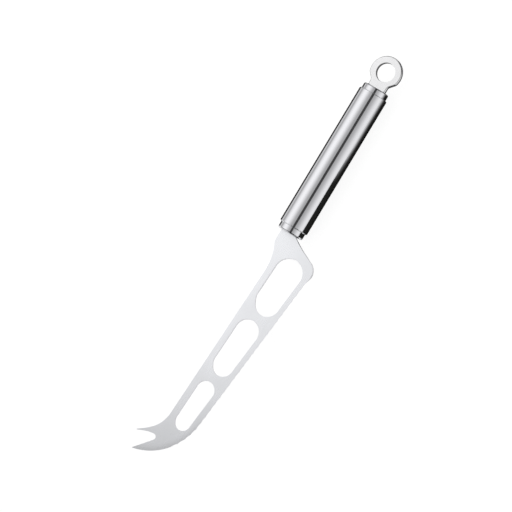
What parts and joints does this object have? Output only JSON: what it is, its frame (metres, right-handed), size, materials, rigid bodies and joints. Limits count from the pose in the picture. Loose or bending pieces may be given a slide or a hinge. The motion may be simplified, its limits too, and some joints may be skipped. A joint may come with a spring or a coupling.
{
  "type": "cheese knife",
  "caption": "Steel cheese knife with a slotted, wave-ground blade, a forked tip and a round tube handle that ends in a flat hanging ring.",
  "frame": {"origin": "centre of the hanging hole, half-way through the ring plate, on the axis of the handle", "axes": "+X along the handle towards the tip of the blade, +Y towards the cutting edge, +Z out of the plain face of the blade; the waves are ground into the other face"},
  "size_m": [0.2954, 0.0485, 0.0194],
  "materials": {
    "blade_steel": "satin stainless steel, fine lengthwise grain",
    "tube_steel": "polished stainless steel tube",
    "cap_steel": "polished stainless steel",
    "ring_steel": "bright stainless steel plate",
    "weld_steel": "raw weld bead",
    "seam_steel": "polished weld seam"
  },
  "bodies": {
    "root": {"blade": "blade_steel", "handle_tube": "tube_steel", "front_cap": "cap_steel", "rear_cap": "cap_steel", "hanging_ring": "ring_steel", "tang_weld": "weld_steel", "ring_weld": "weld_steel", "front_seam_weld": "seam_steel", "rear_seam_weld": "seam_steel"}
  },
  "joints": []
}
